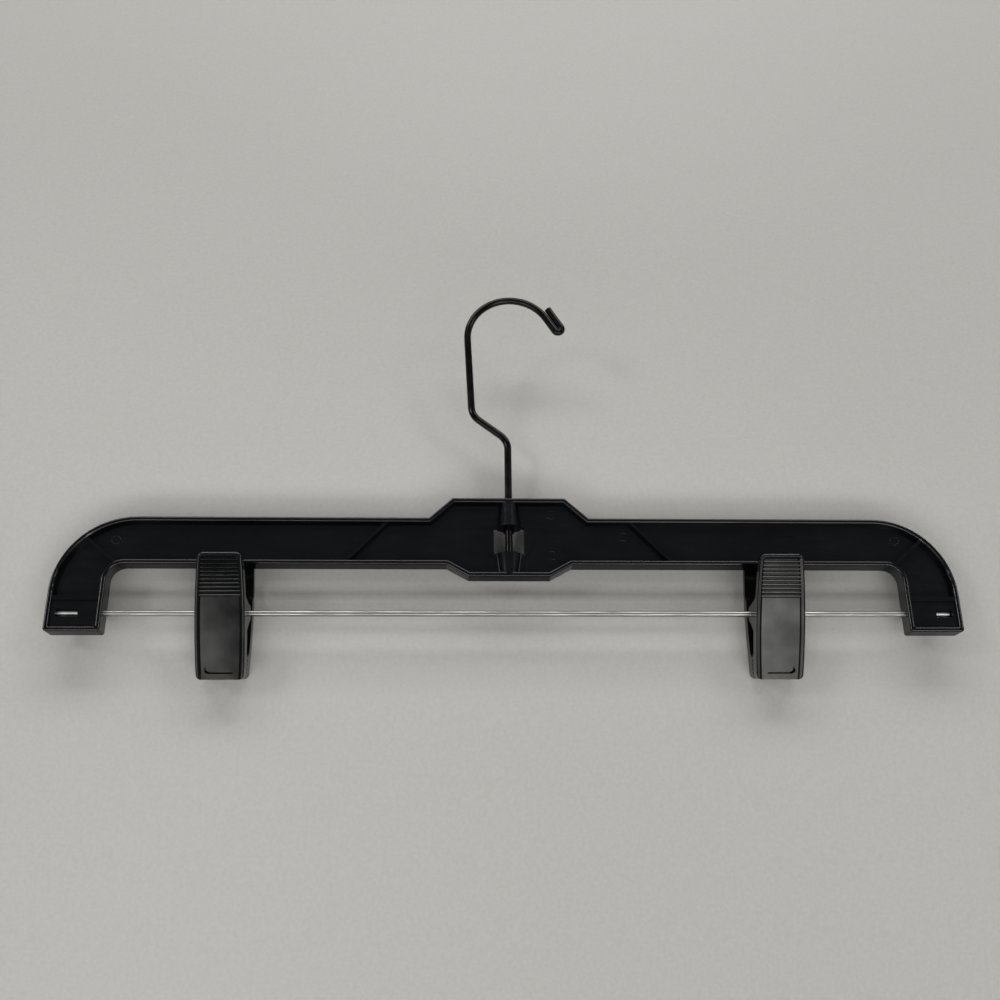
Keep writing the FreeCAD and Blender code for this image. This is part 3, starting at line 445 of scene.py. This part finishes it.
# %% Baking helper
def bake(name, tree, spots=(), **values):
    """Run a tree once, on points where it needs them, and keep its result as a plain mesh."""
    points = bpy.data.meshes.new(f"{name}_points")
    points.from_pydata(spots, [], [])
    holder = bpy.data.objects.new(f"{name}_holder", points)
    scene.collection.objects.link(holder)
    modifier = holder.modifiers.new(name, "NODES")
    modifier.node_group = tree
    inputs = [item for item in tree.interface.items_tree if item.in_out == "INPUT"]
    sockets = {item.name: item.identifier for item in inputs}
    for label, value in values.items():
        modifier[sockets[label.replace("_", " ")]] = value
    graph = bpy.context.evaluated_depsgraph_get()
    mesh = bpy.data.meshes.new_from_object(holder.evaluated_get(graph))
    mesh.name = name
    bpy.data.objects.remove(holder)
    piece = bpy.data.objects.new(name, mesh)
    scene.collection.objects.link(piece)
    return piece


# %% Coil tree and leg tree
TURN_STEPS, WIRE_SIDES = 40, 16

coil_tree, given, result = new_tree("spring_coil", {
    "Turns": "Float", "Coil Radius": "Float", "Wire Radius": "Float", "Length": "Float",
    "Place": "Vector", "Facing": "Rotation", "Finish": "Material"})
spiral = add(coil_tree, "CurveSpiral", Resolution=TURN_STEPS, Rotations=given["Turns"],
             Start_Radius=given["Coil Radius"], End_Radius=given["Coil Radius"],
             Height=given["Length"])["Curve"]
coil = wire_from(coil_tree, spiral, given["Wire Radius"], WIRE_SIDES)
placed = add(coil_tree, "Transform", Geometry=coil, Translation=given["Place"],
             Rotation=given["Facing"])["Geometry"]
end_tree(coil_tree, placed, given["Finish"], result)

leg_tree, given, result = new_tree("spring_leg", {
    "Start": "Vector", "End": "Vector", "Wire Radius": "Float", "Finish": "Material"})
line = add(leg_tree, "CurvePrimitiveLine", Start=given["Start"], End=given["End"])["Curve"]
straight = wire_from(leg_tree, line, given["Wire Radius"], WIRE_SIDES)
end_tree(leg_tree, straight, given["Finish"], result)
print("trees:", coil_tree.name, leg_tree.name)

# %% [markdown]
# ## Turns and legs of the springs
# Each leg leaves the coil along a tangent and ends at the inside of a handle. The tangent's
# length and the angle at which it leaves follow from that end and the coil's radius, so the turns
# needn't be guessed. The clips lie tipped in the photograph, and the springs tip with them.

# %% Spring sizes
CLIPS_TIPPED = Matrix.Rotation(math.radians(13.0), 3, "X")
SPRING_WIRE, COIL_RADIUS, COIL_PITCH, COIL_TURNS = 0.9 * MM, 1.9 * MM, 1.4 * MM, 3
LEG_END = Vector((8.49, 10.71)) * MM

leg_length = math.sqrt(LEG_END.length_squared - COIL_RADIUS ** 2)
leaves_at = math.acos(COIL_RADIUS / LEG_END.length) - math.atan2(LEG_END.y, LEG_END.x)
swept = math.pi * (2 * COIL_TURNS + 1) - 2 * leaves_at
turns = swept / (2 * math.pi)
coil_length = COIL_PITCH * turns
along_rod = Matrix(((0, 0, 1), (1, 0, 0), (0, 1, 0)))
facing = CLIPS_TIPPED @ along_rod @ Matrix.Rotation(math.pi + leaves_at, 3, "Z")
print("coil:", round(turns, 2), "turns,", round(coil_length / MM, 2), "mm long")

# %% Springs
for clip in ("left", "right"):
    low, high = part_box(f"{clip}_spring")
    middle = Vector(((low[0] + high[0]) / 2, 0, ROD_Z))
    start = middle + facing @ Vector((0, 0, -coil_length / 2))
    spring = bake(f"{clip}_spring_coil", coil_tree, Turns=turns, Coil_Radius=COIL_RADIUS,
                  Wire_Radius=SPRING_WIRE / 2, Length=coil_length, Place=start,
                  Facing=facing.to_euler(), Finish=spring_steel)
    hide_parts(f"{clip}_spring")
    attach(spring, f"{clip}_spring")
    for jaw, turn, end in (("front", 0.0, -1), ("back", swept, 1)):
        angle = math.pi + leaves_at + turn
        out = Vector((0, math.cos(angle), math.sin(angle)))
        leaving = out * COIL_RADIUS + Vector((end * coil_length / 2, 0, 0))
        way = Vector((0, -math.sin(angle), math.cos(angle))) * end
        ends = [middle + CLIPS_TIPPED @ spot for spot in (leaving, leaving + way * leg_length)]
        leg = bake(f"{clip}_spring_{jaw}_leg", leg_tree, Start=ends[0], End=ends[1],
                   Wire_Radius=SPRING_WIRE / 2, Finish=spring_steel)
        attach(leg, f"{clip}_{jaw}_jaw")
    print(clip, "spring:", len(spring.data.polygons), "faces in the coil")

# %% [markdown]
# ## Marks of the mould
# Pins push the warm bar out of its mould and leave faint rings on the web. They are all alike, so
# a tree puts one thin ring on each of a handful of points. A bump could fake them, but real rings
# catch the light from every side. They lie half sunk in the web and move with the bar.

# %% Pin rings
WEB_FRONT = -1.0 * MM
PIN_SPOTS = ((-155.0, -109.7), (17.1, -98.4), (17.1, -115.6), (45.8, -107.6), (156.0, -108.9))
PIN_RADIUS, RING_WIRE, RING_SIDES = 1.7 * MM, 0.08 * MM, 8
STANDING = (math.pi / 2, 0, 0)

ring_tree, given, result = new_tree("pin_rings", {
    "Spots": "Geometry", "Pin Radius": "Float", "Ring Wire": "Float", "Finish": "Material"})
circle = add(ring_tree, "CurvePrimitiveCircle", Radius=given["Pin Radius"],
             Resolution=TURN_STEPS)["Curve"]
ring = wire_from(ring_tree, circle, given["Ring Wire"], RING_SIDES)
standing = add(ring_tree, "Transform", Geometry=ring, Rotation=STANDING)["Geometry"]
placed = add(ring_tree, "InstanceOnPoints", Points=given["Spots"],
             Instance=standing)["Instances"]
end_tree(ring_tree, placed, given["Finish"], result)

spots = [(x * MM, WEB_FRONT, z * MM) for x, z in PIN_SPOTS]
rings = bake("pin_rings", ring_tree, spots, Pin_Radius=PIN_RADIUS, Ring_Wire=RING_WIRE,
             Finish=bar_plastic)
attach(rings, "bar")
print("rings:", len(PIN_SPOTS), "with", len(rings.data.polygons), "faces")
